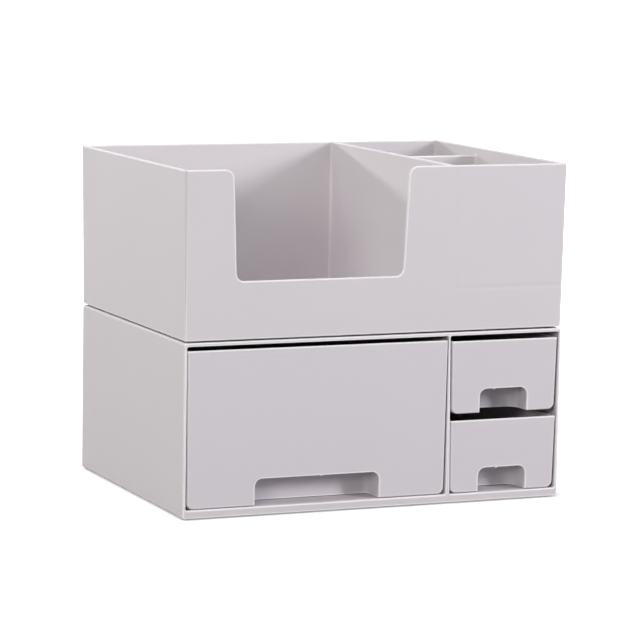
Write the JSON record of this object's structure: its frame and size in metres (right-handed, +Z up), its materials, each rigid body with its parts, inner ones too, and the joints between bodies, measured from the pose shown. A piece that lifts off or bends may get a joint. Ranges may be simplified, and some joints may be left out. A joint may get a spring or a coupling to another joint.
{
  "type": "makeup organizer",
  "caption": "Desktop makeup organizer: an open divided tray with a scooped front, standing on a low cabinet with wide and narrow drawers pulled out by finger notches.",
  "frame": {"origin": "on the table, under the middle of the object", "axes": "+Z up, -Y towards the drawer fronts, +X to the right seen from the front"},
  "size_m": [0.262, 0.196, 0.218],
  "materials": {
    "cabinet_plastic": "fine satin, injection moulded polypropylene, pale lilac grey",
    "tray_plastic": "fine satin, injection moulded polypropylene, pale lilac grey",
    "drawer_plastic": "fine satin, injection moulded polypropylene, pale lilac grey",
    "pad_rubber": "matt, die-cut grey foam rubber"
  },
  "bodies": {
    "cabinet": {"cabinet_shell": "cabinet_plastic", "front_left_pad": "pad_rubber", "front_right_pad": "pad_rubber", "rear_left_pad": "pad_rubber", "rear_right_pad": "pad_rubber"},
    "tray": {"top_tray": "tray_plastic"},
    "large_drawer": {"large_drawer": "drawer_plastic"},
    "lower_small_drawer": {"lower_small_drawer": "drawer_plastic"},
    "upper_small_drawer": {"upper_small_drawer": "drawer_plastic"}
  },
  "joints": [
    {"name": "tray_lift", "type": "slide", "parent": "cabinet", "child": "tray", "axis": [0, 0, 1], "range_m": [0, 0.12]},
    {"name": "large_drawer_slide", "type": "slide", "parent": "cabinet", "child": "large_drawer", "axis": [0, -1, 0], "range_m": [0, 0.15]},
    {"name": "lower_small_drawer_slide", "type": "slide", "parent": "cabinet", "child": "lower_small_drawer", "axis": [0, -1, 0], "range_m": [0, 0.15]},
    {"name": "upper_small_drawer_slide", "type": "slide", "parent": "cabinet", "child": "upper_small_drawer", "axis": [0, -1, 0], "range_m": [0, 0.15]}
  ]
}
